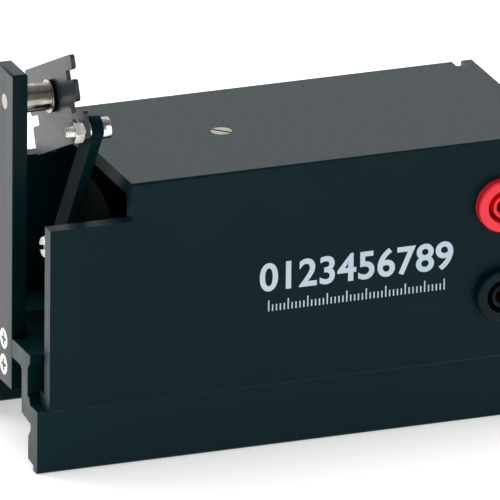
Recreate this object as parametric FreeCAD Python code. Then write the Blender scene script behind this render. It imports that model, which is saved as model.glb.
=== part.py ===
"""Wave drive unit of a ripple tank, as an assembly of separate solids.

Millimetres, +Z up, +X along the housing, -Y on the side with the sockets.
The origin is the centre of the footprint, on the surface the rail stands on.
"""
import FreeCAD, Part
import os
from math import acos, atan2, cos, degrees, hypot, pi, radians, sin, sqrt, tan

os.makedirs("parts", exist_ok=True)
Vector = FreeCAD.Vector

# Clearances
fit = 0.05
running_gap = 0.3
seat_gap = 0.2
overcut = 1.0

# Housing: a square tube, open below between two lips
housing_length = 139.0
housing_width = 60.0
housing_height = 60.0
wall = 4.0
lip_reach = 3.1
step_length = 22.3
step_depth = 10.2
edge_round = 0.6

# Base rail: a hat profile that stands on two narrow strips
rail_overhang = 2.6
rail_inset = 1.9
shoulder_height = 17.2
rail_top = 30.7
top_plate = 5.1
web_outer = 9.3
web_inner = 13.9
shoulder_under = 13.0
bead_start = 7.2
bead_height = 1.9
bead_slope = 1.1
crown_outer = 7.6
crown_height = 3.9
leg_inner = 8.9
groove_inner = 7.3
groove_upper = 12.0
groove_lower = 10.5
groove_end = 8.5
foot_width = 3.2
foot_height = 1.7
profile_bevel = 0.5

# Slot in the rail's top that the crank dips into
crank_slot_width = 17.4
crank_slot_start = 5.9
crank_slot_end = 22.0

# Post and its pivot
post_width = 12.0
post_thick = 4.1
post_bottom = 16.5
post_top = 102.4
post_y = 27.3
block_length = 4.4
pivot_z = 93.5
pivot_radius = 2.0
upper_screw_z = 28.6
lower_screw_z = 21.5

# Rocker plate, in its own frame: u towards the sockets' side, v up
rocker_front = 10.35
rocker_thick = 1.2
rocker_half = 18.5
rocker_top = 8.7
rocker_bottom = -13.55
slot_depth = 5.2
upper_slot = (2.3, 4.9)
lower_slot = (-6.2, -3.4)
ear_reach = 22.4
bolt_u = 19.8
bolt_v = -11.2
plate_round = 1.0

# Bush that the rocker turns on
bush_radius = 3.6
bush_flange_radius = 4.4
bush_flange = 0.5
rocker_washer = 0.75
spigot_radius = 2.8
clip_radius = 3.6
clip_thick = 0.6
clip_seat_radius = 1.5
clip_mouth = 1.4

# Connecting rod, its bolt and its pin
rod_width = 6.0
rod_thick = 2.8
rod_length = 48.17
rod_end = 3.5
rod_crown = 1.7
rod_side_gap = 0.6
eye_shoulder = 2.0
nut_flats = 5.5
nut_thick = 2.4
nut_turn = 0.0
nut_face = 0.4
nut_face_radius = 2.6
bolt_tail = 2.2
cheese_radius = 2.75
cheese_thick = 2.2
pin_washer = 1.3
pin_washer_radius = 3.4
pan_radius = 3.0
pan_thick = 1.7
pan_round = 0.6
pin_slot_width = 1.25
pin_slot_cut = 1.2
pin_slot_turn = -20

# Crank
crank_y = 30.0
crank_z = 42.4
crank_throw = 8.7
crank_angle = -2.7
crank_disc_radius = 13.4
crank_disc_thick = 4.0
crank_hub_radius = 5.0
crank_hub = 1.8
grub_radius = 1.5
grub_sunk = 1.0
grub_socket = 2.0

# Gearbox
pinion_teeth = 12
wheel_teeth = 32
tooth_head = 0.8
tooth_foot = 1.05
tooth_play = 0.05
pressure_angle = radians(20)
case_radius = 18.5
case_wall = 1.5
case_length = 19.0
lid_thick = 2.0
lid_screw_inset = 3.0
wheel_clear = 1.48
output_radius = 2.0
output_gear_width = 3.0
lay_pinion_width = 3.6
lay_wheel_width = 3.0
motor_pinion_width = 3.4
lay_pin_radius = 1.0
bush_wall = 1.5
bush_collar = 1.0
bush_tail = 1.0
gear_clear = 1.5
lay_hub_radius = 1.7
boss_length = 6.0
boss_wall = 1.0
shaft_clear = 1.0
gearbox_screw_length = 6.0

# Motor
can_radius = 13.85
can_wall = 1.0
can_length = 35.0
cap_thick = 3.0
motor_shaft_radius = 1.0
magnet_outer = 12.7
magnet_inner = 10.8
magnet_length = 24.0
magnet_gap = 5.9
magnet_shift = 1.0
armature_radius = 10.3
armature_poles = 5
pole_slot_radius = 1.6
pole_slot_out = 0.2
commutator_radius = 3.5
commutator_length = 4.0
terminal_width = 3.0
terminal_thick = 0.6
terminal_reach = 5.0
terminal_spread = 7.0

# Block that clamps the motor and ties the housing to the rail
motor_block_start = 52.0
motor_block_length = 12.0
motor_block_width = 34.0
block_screw_spread = 10.0
block_screw_grip = 3.5
block_screw_hole = 5.0
block_round = 1.5
top_screw_grip = 6.0
top_screw_hole = 7.0
top_slot_turn = -45

# Sockets
socket_inset = 15.0
socket_upper_z = 59.5
socket_spacing = 24.6
flange_radius = 7.0
flange_proud = 2.8
flange_bevel = 0.6
groove_outer = 4.5
groove_inner_radius = 3.1
groove_depth = 9.5
plug_bore = 2.0
plug_depth = 21.0
bore_funnel = 0.5
contact_wall = 0.7
contact_recess = 2.5
barrel_radius = 6.0
barrel_length = 7.4
tail_radius = 3.9
tail_length = 22.0
tail_out = 1.0
socket_nut_flats = 15.0
socket_nut_thick = 3.0
socket_nut_turn = radians(30)
tag_length = 4.0
tag_width = 2.4

# End plate
end_plate_thick = 2.6
end_slot_width = 2.8
end_slot_inset = 2.8
end_groove = 1.5

# Metric screws
screw_radius = 1.5
screw_clear = 1.6
thread_pitch = 0.5
thread_depth = 0.25
sunk_radius = 2.75
sunk_height = 1.65
slot_width = 0.8
slot_cut = 0.9
cross_width = 0.8
cross_reach = 1.6

# Leads
lead_radius = 0.8
bend_share = 0.45
lead_out = 7.0
lead_turn = (11.0, 9.0)
lead_back = 13.0

# Places worked out from the sizes
left = -housing_length / 2
right = housing_length / 2
near = -housing_width / 2
far = housing_width / 2
top = shoulder_height + housing_height
ceiling = top - wall
rail_left = left - rail_overhang
rail_right = right + rail_overhang
post_mid = near + post_y
post_back = rail_left + post_thick
plate_front = left + rocker_front
plate_back = plate_front + rocker_thick
rod_front = plate_back + rod_side_gap
rod_back = rod_front + rod_thick
shoulder_end = rod_back + seat_gap
nut_back = plate_front - nut_face
nut_front = nut_back - nut_thick
crank_mid = near + crank_y
disc_front = rod_back + 2 * running_gap
disc_back = disc_front + crank_disc_thick
hub_back = disc_back + crank_hub
lid_boss_front = hub_back + running_gap
lid_front = lid_boss_front + bush_collar
lid_back = lid_front + lid_thick
case_back = lid_back + case_length - case_wall
can_front = case_back
can_back = can_front + can_length
wheel_reach = (pinion_teeth + wheel_teeth) / 2 + wheel_teeth / 2 + tooth_head
gear_module = (case_radius - case_wall - wheel_clear) / wheel_reach
gear_mid_z = rail_top + seat_gap + case_radius
shaft_offset = gear_mid_z - crank_z
gear_distance = gear_module * (pinion_teeth + wheel_teeth) / 2
lay_side = sqrt(gear_distance ** 2 - (shaft_offset / 2) ** 2)
lay_mid = crank_mid + lay_side
lay_z = crank_z + shaft_offset / 2
output_gear_front = lid_back + gear_clear
output_gear_back = output_gear_front + output_gear_width
lay_pinion_front = output_gear_front - running_gap
lay_wheel_front = lay_pinion_front + lay_pinion_width + 2 * running_gap
lay_wheel_back = lay_wheel_front + lay_wheel_width
motor_pinion_front = lay_wheel_front - running_gap / 2
block_front = left + motor_block_start
block_back = block_front + motor_block_length


def linkage():
    """Rest places of the crank pin and the rod's bolt, and the rocker's tilt."""
    turn = radians(crank_angle)
    pin_y = crank_mid - crank_throw * sin(turn)
    pin_z = crank_z + crank_throw * cos(turn)
    arm = hypot(bolt_u, bolt_v)
    span_y = post_mid - pin_y
    span_z = pivot_z - pin_z
    span = hypot(span_y, span_z)
    at_pin = acos((rod_length ** 2 + span ** 2 - arm ** 2) / (2 * rod_length * span))
    lean = atan2(span_z, span_y) + at_pin
    bolt_y = pin_y + rod_length * cos(lean)
    bolt_z = pin_z + rod_length * sin(lean)
    tilt = atan2(bolt_z - pivot_z, post_mid - bolt_y) - atan2(bolt_v, bolt_u)
    return pin_y, pin_z, bolt_y, bolt_z, tilt


pin_y, pin_z, bolt_y, bolt_z, rocker_tilt = linkage()


def box(x0, x1, y0, y1, z0, z1):
    return Part.makeBox(x1 - x0, y1 - y0, z1 - z0, Vector(x0, y0, z0))


def bar_x(x0, x1, y, z, radius):
    return Part.makeCylinder(radius, x1 - x0, Vector(x0, y, z), Vector(1, 0, 0))


def bar_y(y0, y1, x, z, radius):
    return Part.makeCylinder(radius, y1 - y0, Vector(x, y0, z), Vector(0, 1, 0))


def bar_z(z0, z1, x, y, radius):
    return Part.makeCylinder(radius, z1 - z0, Vector(x, y, z0), Vector(0, 0, 1))


def tube_x(x0, x1, y, z, outer, inner):
    return bar_x(x0, x1, y, z, outer).cut(bar_x(x0, x1, y, z, inner))


def prism_x(points, x0, x1):
    """Closed outline of (y, z) points, drawn out along X."""
    corners = [Vector(x0, y, z) for y, z in points]
    face = Part.Face(Part.makePolygon(corners + corners[:1]))
    return face.extrude(Vector(x1 - x0, 0, 0))


def hexagon_x(x0, x1, y, z, flats, turn):
    reach = flats / 2 / cos(pi / 6)
    angles = [turn + pi / 3 * i for i in range(6)]
    return prism_x([(y + reach * cos(a), z + reach * sin(a)) for a in angles], x0, x1)


def aimed(shape, place, direction):
    """Turn a piece made along +Z to a direction and set it at a place."""
    turn = FreeCAD.Rotation(Vector(0, 0, 1), Vector(*direction))
    return shape.transformGeometry(FreeCAD.Placement(Vector(*place), turn).toMatrix())


def turned_x(shape, y, z, angle):
    shape.rotate(Vector(0, y, z), Vector(1, 0, 0), degrees(angle))
    return shape


def rounded(shape, chosen, radius):
    return shape.makeFillet(radius, [e for e in shape.Edges if chosen(e)])


def runs_along(edge, axis):
    if len(edge.Vertexes) != 2:
        return False
    step = edge.Vertexes[1].Point - edge.Vertexes[0].Point
    return abs(abs(step.dot(axis)) - step.Length) < 1e-6


def slot(reach, depth_top, depth):
    return box(-reach, reach, -slot_width / 2, slot_width / 2, depth_top - depth, depth_top)


def cross(depth_top, depth):
    one = box(-cross_reach, cross_reach, -cross_width / 2, cross_width / 2, depth_top - depth, depth_top)
    other = box(-cross_width / 2, cross_width / 2, -cross_reach, cross_reach, depth_top - depth, depth_top)
    return one.fuse(other)


def cone(r0, r1, z0, z1):
    return Part.makeCone(r0, r1, z1 - z0, Vector(0, 0, z0))


def sunk_screw(length, recess):
    """Countersunk screw along +Z, its flat top at zero."""
    head = cone(screw_radius, sunk_radius, -sunk_height, 0)
    shank = bar_z(-length, -sunk_height, 0, 0, screw_radius)
    return head.fuse(shank).removeSplitter().cut(recess)


def sunk_hole(length, radius):
    """Space for a countersunk screw, widened by the fit."""
    head = cone(screw_radius + fit, sunk_radius + fit, -sunk_height, 0)
    lead_in = bar_z(0, overcut, 0, 0, sunk_radius + fit)
    return head.fuse(lead_in).fuse(bar_z(-length, 0, 0, 0, radius))


def pan_screw(length):
    """Slotted pan-head screw along +Z, its bearing face at zero."""
    head = bar_z(0, pan_thick, 0, 0, pan_radius)
    head = rounded(head, lambda e: e.BoundBox.ZMin > pan_thick - 0.01, pan_round)
    shape = head.fuse(bar_z(-length, 0, 0, 0, screw_radius))
    return shape.cut(slot(pan_radius + overcut, pan_thick, slot_cut))


def housing():
    """Square tube with its open lower side, stepped end, socket holes and end slot."""
    outer = box(left, right, near, far, shoulder_height, top)
    outer = rounded(outer, lambda e: runs_along(e, Vector(1, 0, 0)), edge_round)
    shape = outer.cut(box(left, right, near + wall, far - wall, shoulder_height + wall, ceiling))
    lip = wall + lip_reach
    shape = shape.cut(box(left, right, near + lip, far - lip, shoulder_height, shoulder_height + wall))
    shape = shape.cut(box(left, left + step_length, near, far, top - step_depth, top))
    for z in (socket_upper_z, socket_upper_z - socket_spacing):
        shape = shape.cut(bar_y(near, near + wall, right - socket_inset, z, barrel_radius + fit))
    end_slot = (right - end_slot_inset - end_slot_width, right - end_slot_inset)
    shape = shape.cut(box(*end_slot, far - wall, far, rail_top, top))
    shape = shape.cut(box(*end_slot, near + wall - end_groove, near + wall, rail_top, ceiling))
    hole = aimed(sunk_hole(wall, screw_clear), (block_front + motor_block_length / 2, 0, top), (0, 0, 1))
    return shape.cut(hole)


def rail_outline():
    """Half of the hat profile, from the foot round to the middle of the top."""
    lip_end = bead_start + bead_slope
    return [
        (rail_inset + profile_bevel, 0),
        (rail_inset, profile_bevel),
        (rail_inset, shoulder_height),
        (bead_start, shoulder_height),
        (lip_end, shoulder_height + bead_height),
        (web_outer, shoulder_height + bead_height),
        (web_outer, rail_top - crown_height),
        (crown_outer, rail_top - crown_height / 2),
        (crown_outer, rail_top),
    ]


def rail_inside():
    """Half of the channel below the hat, from the middle of the top to the foot."""
    return [
        (web_inner + 2 * profile_bevel, rail_top - top_plate),
        (web_inner, rail_top - top_plate - 2 * profile_bevel),
        (web_inner, shoulder_under),
        (groove_inner, groove_upper),
        (groove_inner, groove_lower),
        (leg_inner, groove_end),
        (leg_inner, foot_height + profile_bevel / 2),
        (rail_inset + foot_width, foot_height - profile_bevel / 2),
        (rail_inset + foot_width, profile_bevel),
        (rail_inset + foot_width - profile_bevel, 0),
    ]


def base_rail():
    """Hat-profile rail, with the post's notch, the crank's slot and the screw holes."""
    outer = [(near + y, z) for y, z in rail_outline()]
    inside = [(near + y, z) for y, z in rail_inside()]
    mirror_outer = [(-y, z) for y, z in reversed(outer)]
    mirror_inside = [(-y, z) for y, z in reversed(inside)]
    shape = prism_x(outer + mirror_outer + mirror_inside + inside, rail_left, rail_right)
    half = post_width / 2 + fit
    notch_back = post_back + fit
    shape = shape.cut(box(rail_left, notch_back, post_mid - half, post_mid + half, 0, rail_top))
    slot_half = crank_slot_width / 2
    slot_x = (left + crank_slot_start, left + crank_slot_end)
    shape = shape.cut(box(*slot_x, crank_mid - slot_half, crank_mid + slot_half, shoulder_under, rail_top))
    shape = shape.cut(bar_x(notch_back, slot_x[0], post_mid, upper_screw_z, screw_radius))
    for y in (-block_screw_spread, block_screw_spread):
        place = (block_front + motor_block_length / 2, y, rail_top - top_plate)
        shape = shape.cut(aimed(sunk_hole(top_plate, screw_clear), place, (0, 0, -1)))
    return shape


def post():
    """Flat upright bar with the pivot's hole and two countersunk holes."""
    half = post_width / 2
    shape = box(rail_left, post_back, post_mid - half, post_mid + half, post_bottom, post_top)
    shape = rounded(shape, lambda e: e.BoundBox.ZMin > post_top - 0.01, edge_round)
    shape = shape.cut(bar_x(rail_left, post_back, post_mid, pivot_z, pivot_radius))
    for z in (upper_screw_z, lower_screw_z):
        shape = shape.cut(aimed(sunk_hole(post_thick, screw_clear), (rail_left, post_mid, z), (-1, 0, 0)))
    return shape


def post_block():
    """Small block under the rail's top that takes the post's lower screw."""
    half = post_width / 2
    shape = box(post_back, post_back + block_length, post_mid - half, post_mid + half,
                post_bottom, rail_top - top_plate)
    return shape.cut(bar_x(post_back, post_back + block_length, post_mid, lower_screw_z, screw_radius))


def post_screws():
    length = post_thick + block_length
    return [aimed(sunk_screw(length, cross(0, slot_cut)), (rail_left, post_mid, z), (-1, 0, 0))
            for z in (upper_screw_z, lower_screw_z)]


def pivot_shaft():
    """Fixed shaft through the post, grooved at its free end for the clip."""
    clip_front = plate_back + running_gap
    shaft_end = clip_front + 2 * clip_thick
    shape = bar_x(rail_left, shaft_end, post_mid, pivot_z, pivot_radius)
    groove = tube_x(clip_front, clip_front + clip_thick, post_mid, pivot_z, pivot_radius, clip_seat_radius)
    return shape.cut(groove)


def pivot_clip():
    """E-clip in the groove of the pivot shaft."""
    front = plate_back + running_gap + fit
    back = front + clip_thick - 2 * fit
    ring = tube_x(front, back, post_mid, pivot_z, clip_radius, clip_seat_radius)
    return ring.cut(box(front, back, post_mid - clip_mouth, post_mid + clip_mouth,
                        pivot_z - 2 * clip_radius, pivot_z))


def rocker_bush():
    """Flanged bush: sleeve, flange, and the spigot staked into the rocker plate."""
    flange_back = plate_front - rocker_washer
    sleeve = bar_x(post_back + running_gap, flange_back, post_mid, pivot_z, bush_radius)
    flange = bar_x(flange_back - bush_flange, flange_back, post_mid, pivot_z, bush_flange_radius)
    spigot = bar_x(flange_back, plate_back, post_mid, pivot_z, spigot_radius)
    shape = sleeve.fuse(flange).fuse(spigot).removeSplitter()
    return shape.cut(bar_x(post_back, plate_back, post_mid, pivot_z, pivot_radius + fit))


def rocker_washer_ring():
    return tube_x(plate_front - rocker_washer, plate_front, post_mid, pivot_z,
                  bush_flange_radius - seat_gap, spigot_radius)


def rocker_outline():
    """Plate outline in (u, v), with two holding slots in each side edge."""
    inner = rocker_half - slot_depth
    near_side = [
        (ear_reach, rocker_bottom),
        (ear_reach, lower_slot[0]),
        (inner, lower_slot[0]),
        (inner, lower_slot[1]),
        (rocker_half, lower_slot[1]),
        (rocker_half, upper_slot[0]),
        (inner, upper_slot[0]),
        (inner, upper_slot[1]),
        (rocker_half, upper_slot[1]),
        (rocker_half, rocker_top),
    ]
    far_side = [(-min(u, rocker_half), v) for u, v in reversed(near_side)]
    return near_side + far_side


def rocker_plate():
    """Slotted sheet plate, hung on the bush and tilted by the rod."""
    points = [(post_mid - u, pivot_z + v) for u, v in rocker_outline()]
    shape = prism_x(points, plate_front, plate_back)
    corners = [e for e in shape.Edges if runs_along(e, Vector(1, 0, 0))]
    outer = [e for e in corners if abs(e.BoundBox.YMin - post_mid) > rocker_half - 0.01]
    shape = shape.makeFillet(plate_round, outer)
    shape = shape.cut(bar_x(plate_front, plate_back, post_mid, pivot_z, spigot_radius))
    shape = shape.cut(bar_x(plate_front, plate_back, post_mid - bolt_u, pivot_z + bolt_v, screw_radius))
    return turned_x(shape, post_mid, pivot_z, -rocker_tilt)


def thread_rings(x0, x1, y, z):
    """V grooves one pitch apart, as rings that stand for the thread between two places."""
    count = int((x1 - x0) / thread_pitch)
    rings = []
    for i in range(count):
        x = x1 - (i + 0.5) * thread_pitch
        half = thread_pitch / 2 - fit / 2
        corners = [
            Vector(x, y, z + screw_radius - thread_depth),
            Vector(x - half, y, z + screw_radius + fit),
            Vector(x + half, y, z + screw_radius + fit),
        ]
        face = Part.Face(Part.makePolygon(corners + corners[:1]))
        rings.append(face.revolve(Vector(x, y, z), Vector(1, 0, 0), 360))
    return rings


def rod_bolt():
    """Slotted cheese-head shoulder bolt through the rod's upper eye."""
    head = bar_x(shoulder_end, shoulder_end + cheese_thick, bolt_y, bolt_z, cheese_radius)
    shoulder = bar_x(plate_back, shoulder_end, bolt_y, bolt_z, eye_shoulder)
    thread = bar_x(nut_front - bolt_tail, plate_back, bolt_y, bolt_z, screw_radius)
    shape = head.fuse(shoulder).fuse(thread).removeSplitter()
    for ring in thread_rings(nut_front - bolt_tail, nut_front, bolt_y, bolt_z):
        shape = shape.cut(ring)
    groove = box(shoulder_end + cheese_thick - slot_cut, shoulder_end + cheese_thick,
                 bolt_y - slot_width / 2, bolt_y + slot_width / 2,
                 bolt_z - 2 * cheese_radius, bolt_z + 2 * cheese_radius)
    return shape.cut(groove)


def rod_nut():
    """Hexagon nut with rounded corners and a thin round bearing face."""
    nut = hexagon_x(nut_front, nut_back, bolt_y, bolt_z, nut_flats, nut_turn)
    reach = nut_flats / 2 / cos(pi / 6)
    turned = bar_x(nut_front, nut_back, bolt_y, bolt_z, reach)
    turned = rounded(turned, lambda e: len(e.Vertexes) == 1, (reach - nut_flats / 2) * 0.9)
    face = bar_x(nut_back, plate_front, bolt_y, bolt_z, nut_face_radius)
    shape = nut.common(turned).fuse(face).removeSplitter()
    return shape.cut(bar_x(nut_front, plate_front, bolt_y, bolt_z, screw_radius))


def connecting_rod():
    """Flat rod with crowned ends, from the rocker's bolt down to the crank pin."""
    half = rod_width / 2
    crown = rod_end - rod_crown
    lower = -rod_length
    shape_points = [
        Vector(0, -half, crown),
        Vector(0, half, crown),
        Vector(0, half, lower - crown),
        Vector(0, -half, lower - crown),
    ]
    upper_arc = Part.Arc(shape_points[0], Vector(0, 0, rod_end), shape_points[1]).toShape()
    lower_arc = Part.Arc(shape_points[2], Vector(0, 0, lower - rod_end), shape_points[3]).toShape()
    far_side = Part.makeLine(shape_points[1], shape_points[2])
    near_side = Part.makeLine(shape_points[3], shape_points[0])
    outline = Part.Wire([upper_arc, far_side, lower_arc, near_side])
    shape = Part.Face(outline).extrude(Vector(rod_thick, 0, 0))
    for z in (0, lower):
        shape = shape.cut(bar_x(0, rod_thick, 0, z, eye_shoulder + fit))
    lean = atan2(pin_y - bolt_y, bolt_z - pin_z)
    shape.rotate(Vector(0, 0, 0), Vector(1, 0, 0), degrees(lean))
    shape.translate(Vector(rod_front, bolt_y, bolt_z))
    return shape


def crank_pin():
    """Slotted shoulder screw in the rod's lower eye, ending just short of the crank."""
    shoulder = bar_x(rod_front, disc_front - running_gap, pin_y, pin_z, eye_shoulder)
    washer_front = rod_front - pin_washer
    neck = bar_x(washer_front, rod_front, pin_y, pin_z, screw_radius)
    head = bar_x(washer_front - pan_thick, washer_front, pin_y, pin_z, pan_radius)
    head = rounded(head, lambda e: e.BoundBox.XMax < washer_front - pan_thick + 0.01, pan_round)
    groove = box(washer_front - pan_thick, washer_front - pan_thick + pin_slot_cut,
                 pin_y - 2 * pan_radius, pin_y + 2 * pan_radius,
                 pin_z - pin_slot_width / 2, pin_z + pin_slot_width / 2)
    groove.rotate(Vector(0, pin_y, pin_z), Vector(1, 0, 0), pin_slot_turn)
    return head.fuse(neck).fuse(shoulder).removeSplitter().cut(groove)


def crank_pin_washer():
    return tube_x(rod_front - pin_washer, rod_front, pin_y, pin_z, pin_washer_radius, screw_radius)


def crank_disc():
    """Disc and hub on the output shaft, with the pin's tapped hole."""
    disc = bar_x(disc_front, disc_back, crank_mid, crank_z, crank_disc_radius)
    hub = bar_x(disc_back, hub_back, crank_mid, crank_z, crank_hub_radius)
    shape = disc.fuse(hub).removeSplitter()
    shape = shape.cut(bar_x(disc_front, hub_back, crank_mid, crank_z, output_radius))
    shape = shape.cut(bar_x(disc_front, disc_back, pin_y, pin_z, screw_radius))
    mid = (disc_front + disc_back) / 2
    return shape.cut(bar_z(crank_z - crank_disc_radius - overcut, crank_z, mid, crank_mid, grub_radius))


def crank_grub():
    """Set screw that grips the output shaft."""
    mid = (disc_front + disc_back) / 2
    foot = crank_z - crank_disc_radius + grub_sunk
    shape = bar_z(foot, crank_z - output_radius, mid, crank_mid, grub_radius)
    return shape.cut(bar_z(foot, foot + grub_socket, mid, crank_mid, grub_radius / 2))


def output_shaft():
    return bar_x(disc_front, output_gear_back, crank_mid, crank_z, output_radius)


def gear_outline(teeth):
    """Outline of an involute gear about the origin, one tooth on the first axis."""
    pitch = gear_module * teeth / 2
    base = pitch * cos(pressure_angle)
    tip = pitch + tooth_head * gear_module
    root = pitch - tooth_foot * gear_module
    half_tooth = pi / (2 * teeth) - tooth_play / pitch
    at_pitch = tan(pressure_angle) - pressure_angle
    flank = []
    for i in range(4):
        radius = max(base, root) + (tip - max(base, root)) * i / 3
        open_angle = acos(base / radius)
        flank.append((radius, half_tooth + at_pitch - (tan(open_angle) - open_angle)))
    flank = [(root, flank[0][1])] + flank if root < base else flank
    points = []
    for i in range(teeth):
        middle = 2 * pi * i / teeth
        points += [(r, middle - a) for r, a in flank]
        points += [(r, middle + a) for r, a in reversed(flank)]
    return [(r * cos(a), r * sin(a)) for r, a in points]


def gear(teeth, x0, x1, y, z, turn):
    points = gear_outline(teeth)
    shape = prism_x(points, x0, x1)
    shape.rotate(Vector(0, 0, 0), Vector(1, 0, 0), degrees(turn))
    shape.translate(Vector(0, y, z))
    return shape


def direction(y0, z0, y1, z1):
    return atan2(z1 - z0, y1 - y0)


def output_gear():
    turn = direction(crank_mid, crank_z, lay_mid, lay_z)
    shape = gear(wheel_teeth, output_gear_front, output_gear_back, crank_mid, crank_z, turn)
    return shape.cut(bar_x(output_gear_front, output_gear_back, crank_mid, crank_z, output_radius))


def lay_gear():
    """Compound gear: pinion to the output gear, wheel to the motor pinion."""
    to_output = direction(lay_mid, lay_z, crank_mid, crank_z)
    to_motor = direction(lay_mid, lay_z, crank_mid, gear_mid_z)
    pinion_back = lay_pinion_front + lay_pinion_width
    half_pitch = pi / pinion_teeth
    pinion = gear(pinion_teeth, lay_pinion_front, pinion_back, lay_mid, lay_z, to_output + half_pitch)
    wheel = gear(wheel_teeth, lay_wheel_front, lay_wheel_back, lay_mid, lay_z, to_motor)
    hub = bar_x(lid_back + running_gap, case_back - case_wall - running_gap, lay_mid, lay_z, lay_hub_radius)
    shape = pinion.fuse(wheel).fuse(hub).removeSplitter()
    return shape.cut(bar_x(lid_back, case_back, lay_mid, lay_z, lay_pin_radius + fit))


def lay_pin():
    return bar_x(lid_front + lid_thick / 2, case_back - case_wall / 2, lay_mid, lay_z, lay_pin_radius)


def motor_pinion():
    turn = direction(crank_mid, gear_mid_z, lay_mid, lay_z) + pi / pinion_teeth
    back = motor_pinion_front + motor_pinion_width
    shape = gear(pinion_teeth, motor_pinion_front, back, crank_mid, gear_mid_z, turn)
    return shape.cut(bar_x(motor_pinion_front, back, crank_mid, gear_mid_z, motor_shaft_radius))


def lid_screw_places():
    angles = [pi / 3 + 2 * pi / 3 * i for i in range(3)]
    reach = case_radius - lid_screw_inset
    return [(crank_mid + reach * cos(a), gear_mid_z + reach * sin(a)) for a in angles]


def gearbox_case():
    """Round cup of the gearbox, with three screw bosses inside."""
    shape = bar_x(lid_back, case_back, crank_mid, gear_mid_z, case_radius)
    shape = shape.cut(bar_x(lid_back, case_back - case_wall, crank_mid, gear_mid_z, case_radius - case_wall))
    for y, z in lid_screw_places():
        boss = bar_x(lid_back, lid_back + boss_length, y, z, screw_radius + boss_wall)
        shape = shape.fuse(boss.common(bar_x(lid_back, case_back, crank_mid, gear_mid_z, case_radius)))
        shape = shape.cut(bar_x(lid_back, lid_back + boss_length, y, z, screw_radius))
    floor = case_back - case_wall
    shape = shape.cut(bar_x(floor, case_back, crank_mid, gear_mid_z, motor_shaft_radius + shaft_clear))
    return shape.cut(bar_x(floor, case_back - case_wall / 2, lay_mid, lay_z, lay_pin_radius))


def gearbox_lid():
    """Front plate of the gearbox, with the holes of the bush, the pin and the screws."""
    shape = bar_x(lid_front, lid_back, crank_mid, gear_mid_z, case_radius)
    shape = shape.cut(bar_x(lid_front, lid_back, crank_mid, crank_z, output_radius + bush_wall))
    for y, z in lid_screw_places():
        shape = shape.cut(bar_x(lid_front, lid_back, y, z, screw_clear))
    return shape.cut(bar_x(lid_front + lid_thick / 2, lid_back, lay_mid, lay_z, lay_pin_radius))


def gearbox_screws():
    return [aimed(pan_screw(gearbox_screw_length), (lid_front, y, z), (-1, 0, 0))
            for y, z in lid_screw_places()]


def output_bush():
    """Bronze bush of the output shaft, with a thin collar in front of the lid."""
    sleeve = bar_x(lid_front, lid_back + bush_tail, crank_mid, crank_z, output_radius + bush_wall)
    collar = bar_x(lid_boss_front, lid_front, crank_mid, crank_z, output_radius + 2 * bush_wall)
    shape = sleeve.fuse(collar).removeSplitter()
    return shape.cut(bar_x(lid_boss_front, lid_back + bush_tail, crank_mid, crank_z, output_radius + fit))


def motor_can():
    """Drawn steel can, closed in front round its bearing."""
    shape = bar_x(can_front, can_back, crank_mid, gear_mid_z, can_radius)
    shape = shape.cut(bar_x(can_front + can_wall, can_back, crank_mid, gear_mid_z, can_radius - can_wall))
    return shape.cut(bar_x(can_front, can_front + can_wall, crank_mid, gear_mid_z, 2 * motor_shaft_radius))


def motor_bearing(front, back):
    return tube_x(front, back, crank_mid, gear_mid_z, 2 * motor_shaft_radius, motor_shaft_radius + fit)


def motor_end_cap():
    """Moulded cap that closes the can and carries the terminals."""
    rim = bar_x(can_back, can_back + cap_thick, crank_mid, gear_mid_z, can_radius)
    plug = bar_x(can_back - cap_thick, can_back, crank_mid, gear_mid_z, can_radius - can_wall - fit)
    shape = rim.fuse(plug).removeSplitter()
    hollow = can_radius - 3 * can_wall
    shape = shape.cut(bar_x(can_back - cap_thick, can_back, crank_mid, gear_mid_z, hollow))
    shape = shape.cut(bar_x(can_back, can_back + cap_thick, crank_mid, gear_mid_z, 2 * motor_shaft_radius))
    for terminal in motor_terminals():
        shape = shape.cut(terminal)
    return shape


def motor_terminals():
    """Two flat tabs through the end cap, each with its brush leaf inside."""
    tabs = []
    for side in (-1, 1):
        y = crank_mid + side * terminal_spread
        tabs.append(box(can_back - cap_thick, can_back + cap_thick + terminal_reach,
                        y - terminal_thick / 2, y + terminal_thick / 2,
                        gear_mid_z - terminal_width / 2, gear_mid_z + terminal_width / 2))
    return tabs


def magnets():
    """Two curved magnets against the can."""
    middle = (can_front + can_back) / 2 - magnet_shift
    front = middle - magnet_length / 2
    ring = tube_x(front, front + magnet_length, crank_mid, gear_mid_z, magnet_outer, magnet_inner)
    upper = ring.cut(box(front, front + magnet_length, near, far, 0, gear_mid_z + magnet_gap))
    lower = ring.cut(box(front, front + magnet_length, near, far, gear_mid_z - magnet_gap, top))
    return [upper, lower]


def armature():
    """Laminated core with five wound poles, on the motor shaft."""
    middle = (can_front + can_back) / 2 - magnet_shift
    front = middle - magnet_length / 2 + can_wall
    back = middle + magnet_length / 2 - can_wall
    shape = bar_x(front, back, crank_mid, gear_mid_z, armature_radius)
    for i in range(armature_poles):
        angle = 2 * pi * i / armature_poles
        reach = armature_radius + pole_slot_out
        y = crank_mid + reach * cos(angle)
        z = gear_mid_z + reach * sin(angle)
        shape = shape.cut(bar_x(front, back, y, z, pole_slot_radius))
    return shape.cut(bar_x(front, back, crank_mid, gear_mid_z, motor_shaft_radius))


def commutator():
    back = can_back - running_gap
    front = back - commutator_length
    return tube_x(front, back, crank_mid, gear_mid_z, commutator_radius, motor_shaft_radius)


def motor_shaft():
    back = can_back + cap_thick - running_gap
    return bar_x(motor_pinion_front, back, crank_mid, gear_mid_z, motor_shaft_radius)


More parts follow.
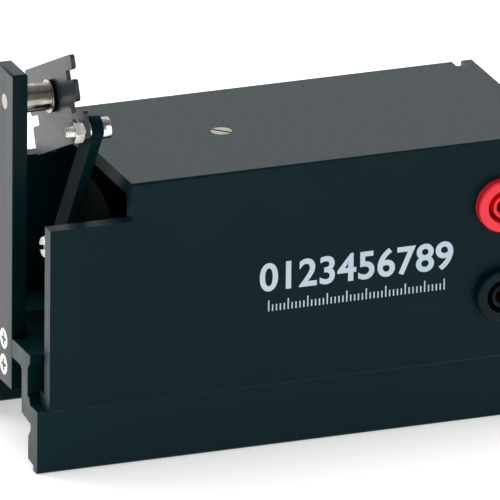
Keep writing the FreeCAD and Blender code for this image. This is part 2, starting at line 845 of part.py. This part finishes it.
def motor_block():
    """Block on the rail that holds the motor and reaches the housing's top."""
    half = motor_block_width / 2
    shape = box(block_front, block_back, crank_mid - half, crank_mid + half, rail_top, ceiling)
    shape = rounded(shape, lambda e: runs_along(e, Vector(0, 0, 1)), block_round)
    shape = shape.cut(bar_x(block_front, block_back, crank_mid, gear_mid_z, can_radius + fit))
    middle = (block_front + block_back) / 2
    shape = shape.cut(bar_z(ceiling - top_screw_hole, ceiling, middle, 0, screw_radius))
    for y in (-block_screw_spread, block_screw_spread):
        shape = shape.cut(bar_z(rail_top, rail_top + block_screw_hole, middle, y, screw_radius))
    return shape


def block_screws():
    middle = (block_front + block_back) / 2
    length = top_plate + block_screw_grip
    return [aimed(sunk_screw(length, cross(0, slot_cut)), (middle, y, rail_top - top_plate), (0, 0, -1))
            for y in (-block_screw_spread, block_screw_spread)]


def top_screw():
    middle = (block_front + block_back) / 2
    screw = sunk_screw(wall + top_screw_grip, slot(sunk_radius + overcut, 0, slot_cut))
    screw.rotate(Vector(0, 0, 0), Vector(0, 0, 1), top_slot_turn)
    return aimed(screw, (middle, 0, top), (0, 0, 1))


def end_plate():
    """Plate that closes the right end, slid in from the far side."""
    back = right - end_slot_inset - (end_slot_width - end_plate_thick) / 2
    floor = rail_top + seat_gap
    return box(back - end_plate_thick, back, near + wall - end_groove + seat_gap, far - seat_gap,
               floor, ceiling - seat_gap)


def socket_body(z):
    """Moulded shell of a safety socket: flange, barrel and ring groove."""
    x = right - socket_inset
    face = near - flange_proud
    flange = bar_y(face, near, x, z, flange_radius)
    flange = rounded(flange, lambda e: e.BoundBox.YMax < face + 0.01, flange_bevel)
    barrel = bar_y(near, near + barrel_length, x, z, barrel_radius)
    tail = bar_y(near, near + tail_length, x, z, tail_radius)
    shape = flange.fuse(barrel).fuse(tail).removeSplitter()
    groove = bar_y(face, face + groove_depth, x, z, groove_outer)
    groove = groove.cut(bar_y(face, face + groove_depth, x, z, groove_inner_radius))
    shape = shape.cut(groove)
    shape = shape.cut(bar_y(face, face + contact_recess, x, z, plug_bore))
    shape = shape.cut(aimed(cone(plug_bore + bore_funnel, plug_bore, 0, bore_funnel), (x, face, z), (0, 1, 0)))
    return shape.cut(bar_y(face + contact_recess, near + tail_length, x, z, plug_bore + contact_wall))


def socket_contact(z):
    """Turned contact sleeve with its solder tag."""
    x = right - socket_inset
    front = near - flange_proud + contact_recess
    back = near + tail_length + tail_out
    shape = bar_y(front, back, x, z, plug_bore + contact_wall)
    shape = shape.cut(bar_y(front, front + plug_depth, x, z, plug_bore))
    tag = box(x - tag_width / 2, x + tag_width / 2, back, back + tag_length,
              z - terminal_thick / 2, z + terminal_thick / 2)
    return shape.fuse(tag)


def socket_nut(z):
    """Moulded nut that clamps the socket from inside."""
    x = right - socket_inset
    front = near + wall
    nut = hexagon_x(0, socket_nut_thick, 0, 0, socket_nut_flats, socket_nut_turn)
    nut = nut.cut(bar_x(0, socket_nut_thick, 0, 0, barrel_radius))
    nut.rotate(Vector(0, 0, 0), Vector(0, 0, 1), 90)
    nut.translate(Vector(x, front, z))
    return nut


def lead(points):
    """Insulated wire: straight runs joined by arcs that touch them."""
    edges = []
    start = points[0]
    for before, corner, after in zip(points, points[1:], points[2:]):
        into = corner - before
        out = after - corner
        turn = into.getAngle(out)
        reach = bend_share * min(into.Length, out.Length)
        radius = reach / tan(turn / 2)
        print("lead radius", round(radius, 1))
        enter = corner - into.normalize() * reach
        leave = corner + out.normalize() * reach
        inward = (out - into).normalize()
        centre = corner + inward * (radius / cos(turn / 2))
        middle = centre - inward * radius
        edges.append(Part.makeLine(start, enter))
        edges.append(Part.Arc(enter, middle, leave).toShape())
        start = leave
    edges.append(Part.makeLine(start, points[-1]))
    path = Part.Wire(edges)
    first = points[1] - points[0]
    ring = Part.Wire([Part.makeCircle(lead_radius, points[0], first)])
    return path.makePipeShell([ring], True, False)


def lead_route(z, side):
    """From the socket's tag, round and back to the motor's terminal."""
    tag_end = near + tail_length + tail_out + tag_length
    x = right - socket_inset
    terminal_end = can_back + cap_thick + terminal_reach
    y = crank_mid + side * terminal_spread
    return [
        Vector(x, tag_end, z),
        Vector(x, tag_end + lead_out, z),
        Vector(x - lead_turn[0], tag_end + lead_turn[1], (z + gear_mid_z) / 2),
        Vector(terminal_end + lead_back, y, gear_mid_z),
        Vector(terminal_end, y, gear_mid_z),
    ]


def save(name, shape):
    solids = shape if isinstance(shape, list) else [shape]
    whole = solids[0] if len(solids) == 1 else Part.makeCompound(solids)
    for solid in whole.Solids:
        if not solid.isValid():
            print("not valid:", name)
    print(name, len(whole.Solids), "solids", round(whole.Volume, 1), "mm3")
    whole.exportStep("parts/" + name + ".step")


upper_z = socket_upper_z
lower_z = socket_upper_z - socket_spacing
cap_back = can_back + cap_thick

nodes = {
    "housing": housing(),
    "base_rail": base_rail(),
    "end_plate": end_plate(),
    "top_screw": top_screw(),
    "motor_block": motor_block(),
    "motor_block_screws": block_screws(),
    "post": post(),
    "post_block": post_block(),
    "post_screws": post_screws(),
    "pivot_shaft": pivot_shaft(),
    "pivot_clip": pivot_clip(),
    "rocker_bush": rocker_bush(),
    "rocker_washer": rocker_washer_ring(),
    "rocker_plate": rocker_plate(),
    "rod_bolt": rod_bolt(),
    "rod_nut": rod_nut(),
    "connecting_rod": connecting_rod(),
    "crank_pin": crank_pin(),
    "crank_pin_washer": crank_pin_washer(),
    "crank_disc": crank_disc(),
    "crank_grub_screw": crank_grub(),
    "output_shaft": output_shaft(),
    "output_gear": output_gear(),
    "output_bush": output_bush(),
    "lay_gear": lay_gear(),
    "lay_pin": lay_pin(),
    "gearbox_case": gearbox_case(),
    "gearbox_lid": gearbox_lid(),
    "gearbox_screws": gearbox_screws(),
    "motor_pinion": motor_pinion(),
    "motor_shaft": motor_shaft(),
    "motor_armature": armature(),
    "motor_commutator": commutator(),
    "motor_can": motor_can(),
    "motor_front_bearing": motor_bearing(can_front, can_front + can_wall),
    "motor_rear_bearing": motor_bearing(can_back, cap_back),
    "motor_magnets": magnets(),
    "motor_end_cap": motor_end_cap(),
    "motor_terminals": motor_terminals(),
    "red_socket_body": socket_body(upper_z),
    "red_socket_contact": socket_contact(upper_z),
    "red_socket_nut": socket_nut(upper_z),
    "black_socket_body": socket_body(lower_z),
    "black_socket_contact": socket_contact(lower_z),
    "black_socket_nut": socket_nut(lower_z),
    "red_lead": lead(lead_route(upper_z, 1)),
    "black_lead": lead(lead_route(lower_z, -1)),
}

for node, shape in nodes.items():
    save(node, shape)
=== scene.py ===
"""Looks for the wave drive unit of a ripple tank. Metres, in the part's own frame."""
import bpy
from math import pi
from mathutils import Matrix, Vector


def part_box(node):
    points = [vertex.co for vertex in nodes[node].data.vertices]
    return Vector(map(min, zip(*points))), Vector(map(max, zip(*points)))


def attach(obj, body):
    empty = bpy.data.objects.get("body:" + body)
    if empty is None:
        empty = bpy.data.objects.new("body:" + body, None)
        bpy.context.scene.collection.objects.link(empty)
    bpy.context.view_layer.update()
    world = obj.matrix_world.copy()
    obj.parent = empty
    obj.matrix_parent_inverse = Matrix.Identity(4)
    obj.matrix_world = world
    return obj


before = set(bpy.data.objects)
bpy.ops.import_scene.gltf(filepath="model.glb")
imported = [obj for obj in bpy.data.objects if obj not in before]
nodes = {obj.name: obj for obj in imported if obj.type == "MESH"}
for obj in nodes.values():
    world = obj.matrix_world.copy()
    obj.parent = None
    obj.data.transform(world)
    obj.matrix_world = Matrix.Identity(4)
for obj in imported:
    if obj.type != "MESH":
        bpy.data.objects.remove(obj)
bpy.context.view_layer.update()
MM = 0.001

# Rounded edges
JOIN_DISTANCE = 0.002 * MM
SHARP_ANGLE = 0.7

# Printing on the near face, by its left edge
PRINT_START = 60.0 * MM
PRINT_END = 108.5 * MM
NUMERAL_BASE = 43.6 * MM
NUMERAL_HEIGHT = 7.2 * MM
NUMERAL_SHARE = 0.69
NUMERAL_BOLDER = 0.22 * MM
NUMERAL_THICK = 0.01 * MM
NUMERAL_PROUD = 0.02 * MM
TICK_BASE = 37.8 * MM
TICK_COUNT = 46
TICK_TALL = 3.0 * MM
TICK_SHORT = 1.8 * MM
TICK_WIDE = 0.35 * MM
TICK_PROUD = 0.03 * MM

# Studio
FLOOR_SIZE = 12
FLOOR_DROP = 0.05 * MM
FLOOR_GLOW = 0.50
NEAR_SIDE = 0.22
BACK_SIDE = 0.90
ZENITH = 0.33


def put(node, values):
    """Constants for a node's inputs, by their names."""
    for name, value in values.items():
        node.inputs[name].default_value = value


def map_range(tree, value, start, end, low, high, easing="LINEAR"):
    """The value's range from start to end, moved to low and high."""
    node = tree.nodes.new("ShaderNodeMapRange")
    node.interpolation_type = easing
    put(node, {"From Min": start, "From Max": end, "To Min": low, "To Max": high})
    tree.links.new(value, node.inputs["Value"])
    return node.outputs["Result"]


def added(name, data):
    """A new object in the scene."""
    obj = bpy.data.objects.new(name, data)
    bpy.context.collection.objects.link(obj)
    return obj


# Materials

class Surface:
    """A material whose colour, roughness and relief come from noise in object space."""

    def __init__(self, name, metallic=0.0, ior=1.5, facing=1.0):
        """facing is the share of the gloss left where the surface faces the viewer."""
        self.material = bpy.data.materials.new(name)
        self.material.use_nodes = True
        self.tree = self.material.node_tree
        self.shader = self.tree.nodes["Principled BSDF"]
        tint = (facing, facing, facing, 1)
        put(self.shader, {"Metallic": metallic, "IOR": ior, "Specular Tint": tint})
        self.place = self.tree.nodes.new("ShaderNodeTexCoord")

    def link(self, source, target):
        self.tree.links.new(source, target)

    def noise(self, scale, detail=3.0, stretch=(1, 1, 1)):
        """Noise value with features of about 1/scale metres, stretched along the axes."""
        mapping = self.tree.nodes.new("ShaderNodeMapping")
        put(mapping, {"Scale": stretch})
        self.link(self.place.outputs["Object"], mapping.inputs["Vector"])
        noise = self.tree.nodes.new("ShaderNodeTexNoise")
        put(noise, {"Scale": scale, "Detail": detail})
        self.link(mapping.outputs["Vector"], noise.inputs["Vector"])
        return noise.outputs["Fac"]

    def spread(self, value, low, high, start=0.3, end=0.7):
        return map_range(self.tree, value, start, end, low, high)

    def mixed(self, value, first, second):
        """A colour between two, by the value; first may be another node's colour."""
        node = self.tree.nodes.new("ShaderNodeMix")
        node.data_type = "RGBA"
        for socket, colour in (("A_Color", first), ("B_Color", second)):
            found = next(s for s in node.inputs if s.identifier == socket)
            if hasattr(colour, "is_linked"):
                self.link(colour, found)
            else:
                found.default_value = (*colour, 1)
        self.link(value, next(s for s in node.inputs if s.identifier == "Factor_Float"))
        return next(s for s in node.outputs if s.identifier == "Result_Color")

    def colour(self, source):
        self.link(source, self.shader.inputs["Base Color"])

    def mottled(self, value, dark, light):
        """Base colour from dark to light, by the value."""
        self.colour(self.mixed(self.spread(value, 0.0, 1.0), dark, light))

    def roughness(self, source):
        self.link(source, self.shader.inputs["Roughness"])

    def relief(self, value, height, before=None):
        """Bump of that height in metres; returns its normal, for a second layer."""
        bump = self.tree.nodes.new("ShaderNodeBump")
        put(bump, {"Strength": 1.0, "Distance": height})
        self.link(value, bump.inputs["Height"])
        if before:
            self.link(before, bump.inputs["Normal"])
        self.link(bump.outputs["Normal"], self.shader.inputs["Normal"])
        return bump.outputs["Normal"]


def coated(name, dark, light, rough, grain, facing):
    """Black coat: a fine grain, faint cloudiness and a few light specks."""
    surface = Surface(name, facing=facing)
    base = surface.mixed(surface.spread(surface.noise(25, 1.0), 0.0, 1.0), dark, light)
    specks = surface.spread(surface.noise(900, 1.0), 0.0, 0.5, 0.72, 0.8)
    surface.colour(surface.mixed(specks, base, tuple(3 * c for c in light)))
    surface.roughness(surface.spread(surface.noise(700, 3.0), rough - 0.03, rough + 0.03))
    surface.relief(surface.noise(grain, 2.0), 0.012 * MM)
    return surface.material


def drawn(name, dark, light, rough, stretch, facing, ior=1.5):
    """Extrusion, sheet or bar with faint lines along the way it was drawn."""
    surface = Surface(name, ior=ior, facing=facing)
    lines = surface.noise(120, 3.0, stretch)
    surface.mottled(lines, dark, light)
    surface.roughness(surface.spread(lines, rough - 0.07, rough + 0.07))
    fine = surface.relief(surface.noise(2200, 2.0), 0.010 * MM)
    surface.relief(lines, 0.012 * MM, fine)
    return surface.material


def turned(name, dark, light, rough, stretch):
    """Bare or plated metal with fine tool lines round the turned axis."""
    surface = Surface(name, metallic=1.0)
    lines = surface.noise(400, 3.0, stretch)
    surface.mottled(surface.noise(300, 2.0), dark, light)
    surface.roughness(surface.spread(lines, rough - 0.05, rough + 0.08))
    surface.relief(lines, 0.004 * MM)
    return surface.material


def moulded(name, dark, light, rough, grain, facing=1.0, ior=1.5):
    """Moulded plastic or ink: a soft mottle and a fine grain."""
    surface = Surface(name, ior=ior, facing=facing)
    surface.mottled(surface.noise(90, 2.0), dark, light)
    surface.roughness(surface.spread(surface.noise(500, 3.0), rough - 0.05, rough + 0.05))
    surface.relief(surface.noise(grain, 2.0), 0.006 * MM)
    return surface.material


along = (0.04, 1, 1)
across = (1, 0.05, 1)
upright = (1, 1, 0.04)
round_x = (1, 0.02, 0.02)
round_y = (0.02, 1, 0.02)
round_z = (0.02, 0.02, 1)

shell = coated("black_coat", (0.0012, 0.0135, 0.0175), (0.0020, 0.0160, 0.0205), 0.36,
               grain=2600, facing=0.12)
rail = drawn("black_extrusion", (0.0014, 0.0155, 0.0195), (0.0022, 0.0180, 0.0225), 0.36,
             along, facing=0.12)
bar = drawn("black_bar", (0.0010, 0.0115, 0.0145), (0.0018, 0.0140, 0.0170), 0.32,
            upright, facing=0.10, ior=1.55)
sheet = drawn("grey_sheet", (0.016, 0.026, 0.030), (0.022, 0.034, 0.038), 0.28,
              across, facing=0.5)
rod_coat = drawn("black_rod", (0.0012, 0.0090, 0.0115), (0.0022, 0.0125, 0.0150), 0.60,
                 upright, facing=0.2, ior=1.15)
nickel_x = turned("nickel_turned_x", (0.34, 0.30, 0.26), (0.54, 0.49, 0.43), 0.17, round_x)
nickel_z = turned("nickel_turned_z", (0.40, 0.38, 0.32), (0.58, 0.56, 0.48), 0.24, round_z)
zinc = turned("zinc_bright", (0.66, 0.67, 0.64), (0.86, 0.87, 0.84), 0.20, round_x)
dull_steel = turned("dull_steel", (0.10, 0.10, 0.10), (0.16, 0.16, 0.16), 0.45, round_x)
brass_x = turned("brass_turned_x", (0.50, 0.34, 0.12), (0.66, 0.47, 0.18), 0.28, round_x)
brass_y = turned("brass_turned_y", (0.50, 0.34, 0.12), (0.66, 0.47, 0.18), 0.28, round_y)
iron = turned("dark_iron", (0.05, 0.05, 0.05), (0.09, 0.09, 0.09), 0.55, round_x)
black_matt = moulded("black_matt_moulding", (0.0012, 0.0018, 0.0020), (0.0022, 0.0030, 0.0034),
                     0.70, grain=3000, facing=0.05, ior=1.15)
black_gloss = moulded("black_gloss_moulding", (0.0012, 0.0110, 0.0145), (0.0020, 0.0135, 0.0170),
                      0.34, grain=3500, facing=0.18)
red_gloss = moulded("red_gloss_moulding", (0.94, 0.012, 0.030), (0.98, 0.020, 0.040), 0.36,
                    grain=3500, facing=0.9)
insulation_red = moulded("red_insulation", (0.55, 0.01, 0.01), (0.65, 0.02, 0.02), 0.45,
                         grain=2500)
insulation_black = moulded("black_insulation", (0.005, 0.006, 0.006), (0.009, 0.010, 0.010),
                           0.45, grain=2500, facing=0.5)
print_ink = moulded("printing_ink", (0.54, 0.66, 0.75), (0.60, 0.72, 0.81), 0.55,
                    grain=2500, facing=0.3)

looks = {
    shell: ["housing", "end_plate"],
    rail: ["base_rail"],
    bar: ["post", "post_block"],
    sheet: ["rocker_plate"],
    rod_coat: ["connecting_rod"],
    nickel_x: ["rocker_bush", "pivot_shaft", "pivot_clip", "motor_shaft", "output_shaft",
               "lay_pin"],
    nickel_z: ["top_screw", "motor_block_screws", "crank_grub_screw"],
    zinc: ["rod_bolt", "rod_nut", "crank_pin", "crank_pin_washer", "post_screws",
           "gearbox_screws"],
    dull_steel: ["motor_can"],
    brass_x: ["output_bush", "motor_front_bearing", "motor_rear_bearing", "output_gear",
              "lay_gear", "motor_pinion", "motor_commutator", "motor_terminals"],
    brass_y: ["red_socket_contact", "black_socket_contact"],
    iron: ["motor_magnets", "motor_armature"],
    black_matt: ["rocker_washer", "crank_disc", "motor_block", "motor_end_cap", "gearbox_case",
                 "gearbox_lid"],
    black_gloss: ["black_socket_body", "black_socket_nut"],
    red_gloss: ["red_socket_body", "red_socket_nut"],
    insulation_red: ["red_lead"],
    insulation_black: ["black_lead"],
}
edge_breaks = {
    "housing": 0.30, "base_rail": 0.22, "post": 0.25, "rocker_plate": 0.12,
    "connecting_rod": 0.10, "rod_nut": 0.08, "rod_bolt": 0.12, "rocker_bush": 0.10,
    "end_plate": 0.2, "motor_block": 0.2, "crank_disc": 0.2, "post_screws": 0.06,
    "top_screw": 0.06, "crank_pin": 0.08,
}


def break_edges(node, width):
    """Small rounding of a solid's sharp edges, which catches the light."""
    weld = nodes[node].modifiers.new("join", "WELD")
    weld.merge_threshold = JOIN_DISTANCE
    bevel = nodes[node].modifiers.new("edges", "BEVEL")
    bevel.width = width * MM
    bevel.segments = 2
    bevel.limit_method = "ANGLE"
    bevel.angle_limit = SHARP_ANGLE
    bevel.harden_normals = True


for material, names in looks.items():
    for name in names:
        nodes[name].data.materials.clear()
        nodes[name].data.materials.append(material)
for name, width in edge_breaks.items():
    break_edges(name, width)


# Plain numerals and a row of ticks on the near face

face_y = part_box("housing")[0][1]
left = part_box("housing")[0][0]


def finished(obj, material, body):
    obj.data.materials.append(material)
    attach(obj, body)


def numerals(text, x0, x1, z0, height):
    """Printed numerals on the near face, spread evenly from x0 to x1."""
    step = (x1 - x0) / (len(text) - 1)
    for i, sign in enumerate(text):
        curve = bpy.data.curves.new("numeral", "FONT")
        curve.body = sign
        curve.size = height / NUMERAL_SHARE
        curve.offset = NUMERAL_BOLDER
        curve.extrude = NUMERAL_THICK
        curve.align_x = "CENTER"
        shown = added("numeral_curve", curve)
        spot = Matrix.Translation((x0 + step * i, face_y - NUMERAL_PROUD, z0))
        upended = spot @ Matrix.Rotation(pi / 2, 4, "X")
        shown.matrix_world = upended
        bpy.context.view_layer.update()
        evaluated = shown.evaluated_get(bpy.context.evaluated_depsgraph_get())
        mesh = bpy.data.meshes.new_from_object(evaluated)
        mesh.transform(upended)
        bpy.data.objects.remove(shown)
        finished(added(f"numeral_{sign}", mesh), print_ink, "frame")


def ticks(x0, x1, z0, count, tall, short, thick):
    """Row of printed ticks, every fifth one taller."""
    verts = []
    faces = []
    y = face_y - TICK_PROUD
    for i in range(count):
        middle = x0 + (x1 - x0) * i / (count - 1)
        start, end = middle - thick / 2, middle + thick / 2
        top = z0 + (tall if i % 5 == 0 else short)
        first = len(verts)
        verts += [(start, y, z0), (end, y, z0), (end, y, top), (start, y, top)]
        faces.append((first, first + 1, first + 2, first + 3))
    mesh = bpy.data.meshes.new("ticks")
    mesh.from_pydata(verts, [], faces)
    finished(added("tick_row", mesh), print_ink, "frame")


numerals("0123456789", left + PRINT_START, left + PRINT_END, NUMERAL_BASE, NUMERAL_HEIGHT)
ticks(left + PRINT_START, left + PRINT_END, TICK_BASE, TICK_COUNT, TICK_TALL, TICK_SHORT,
      TICK_WIDE)


# Floor

half = FLOOR_SIZE / 2
corners = [(x * half, y * half, -FLOOR_DROP) for x, y in ((-1, -1), (1, -1), (1, 1), (-1, 1))]
floor_mesh = bpy.data.meshes.new("floor")
floor_mesh.from_pydata(corners, [], [(0, 1, 2, 3)])
floor = added("floor", floor_mesh)
paper = Surface("floor_paper", ior=1.3)
paper.mottled(paper.noise(6, 2.0), (0.86, 0.855, 0.85), (0.88, 0.875, 0.87))
paper.roughness(paper.spread(paper.noise(40, 2.0), 0.6, 0.7))
put(paper.shader, {"Emission Color": (1, 1, 1, 1), "Emission Strength": FLOOR_GLOW})
floor.data.materials.append(paper.material)


# Studio light, brighter behind the unit than on its near side or overhead

scene = bpy.context.scene
scene.view_settings.view_transform = "Standard"

world = bpy.data.worlds.new("studio")
world.use_nodes = True
scene.world = world
tree = world.node_tree
background = tree.nodes["Background"]
direction = tree.nodes.new("ShaderNodeTexCoord")
split = tree.nodes.new("ShaderNodeSeparateXYZ")
tree.links.new(direction.outputs["Generated"], split.inputs["Vector"])
product = tree.nodes.new("ShaderNodeMath")
product.operation = "MULTIPLY"
by_depth = map_range(tree, split.outputs["Y"], -0.70, 0.20, NEAR_SIDE, BACK_SIDE, "SMOOTHSTEP")
by_height = map_range(tree, split.outputs["Z"], 0.45, 0.95, 1.0, ZENITH, "SMOOTHSTEP")
tree.links.new(by_depth, product.inputs[0])
tree.links.new(by_height, product.inputs[1])
tree.links.new(product.outputs["Value"], background.inputs["Strength"])
put(background, {"Color": (1, 1, 1, 1)})


def softbox(name, place, aim, size, radiance, mirrored):
    """Rectangular light; mirrored says whether glossy surfaces show it."""
    light = bpy.data.lights.new(name, "AREA")
    light.shape = "RECTANGLE"
    light.size, light.size_y = size
    light.energy = radiance * pi * size[0] * size[1]
    obj = added(name, light)
    obj.location = place
    obj.rotation_euler = (Vector(place) - Vector(aim)).to_track_quat("Z", "Y").to_euler()
    obj.visible_glossy = mirrored


softbox("overhead", (-0.1, 0.35, 1.5), (0, 0, 0), (1.4, 1.2), 2.7, False)
softbox("back_left", (-0.55, 0.55, 0.55), (-0.15, 0.15, 0), (0.5, 0.5), 2.2, False)
softbox("window", (0.48, -1.30, 0.52), (0, 0, 0.06), (0.7, 0.8), 2.4, True)


# Camera, its place and axes solved from the photo's straight edges

camera_data = bpy.data.cameras.new("photo_camera")
camera_data.lens = 1305.6
camera_data.sensor_width = 36
camera_data.clip_start = 0.1
camera_data.clip_end = 50
camera = added("photo_camera", camera_data)
right_axis = Vector((0.93473, -0.35527, 0.00849))
up_axis = Vector((0.11581, 0.32712, 0.93786))
back_axis = Vector((-0.33597, -0.87566, 0.34691))
turn = Matrix((right_axis, up_axis, back_axis)).transposed()
camera.matrix_world = Matrix.Translation((-1.5806, -4.1111, 1.6721)) @ turn.to_4x4()
scene.camera = camera
